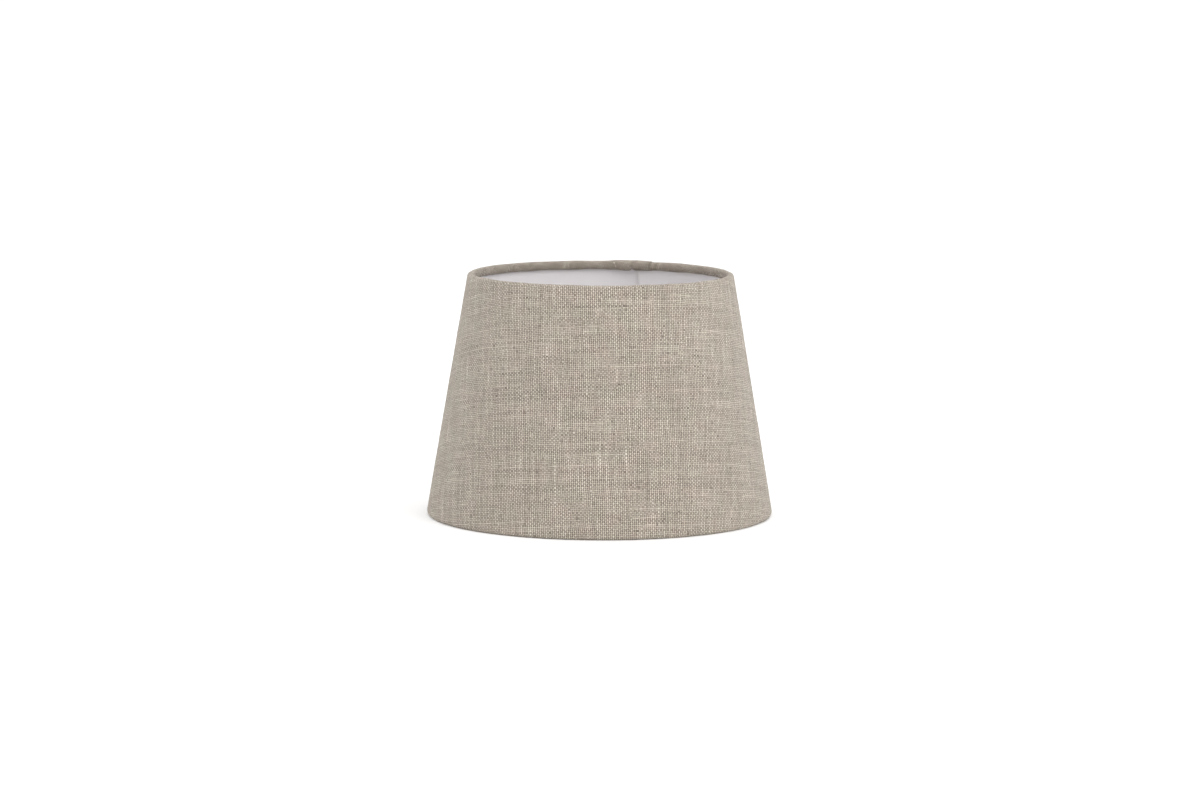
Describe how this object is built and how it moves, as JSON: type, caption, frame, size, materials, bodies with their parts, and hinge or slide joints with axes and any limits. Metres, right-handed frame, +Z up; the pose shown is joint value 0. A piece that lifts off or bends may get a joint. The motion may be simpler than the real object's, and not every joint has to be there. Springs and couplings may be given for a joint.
{
  "type": "lamp shade",
  "caption": "Small tapered drum lamp shade: natural linen on a white lining, rolled round wire rings at its edges, with wire arms and a pressed ring fitter low inside.",
  "frame": {"origin": "middle of the lower rim, on the plane that the shade stands on", "axes": "+Z up along the shade's axis, +X to the right, +Y to the back, where the lapped seam is"},
  "size_m": [0.2, 0.2, 0.1408],
  "materials": {
    "linen": "coarse plain-weave natural linen with slubs, matt",
    "lining": "smooth white lampshade lining sheet",
    "adhesive_tape": "double-sided adhesive tape",
    "white_steel": "white powder-coated steel"
  },
  "bodies": {
    "root": {"linen_cover": "linen", "lining_panel": "lining", "seam_tape": "adhesive_tape", "top_ring": "white_steel", "top_ring_tape": "adhesive_tape", "bottom_ring": "white_steel", "bottom_ring_tape": "adhesive_tape", "fitter_ring": "white_steel", "fitter_arm_1": "white_steel", "fitter_arm_2": "white_steel", "fitter_arm_3": "white_steel"}
  },
  "joints": []
}
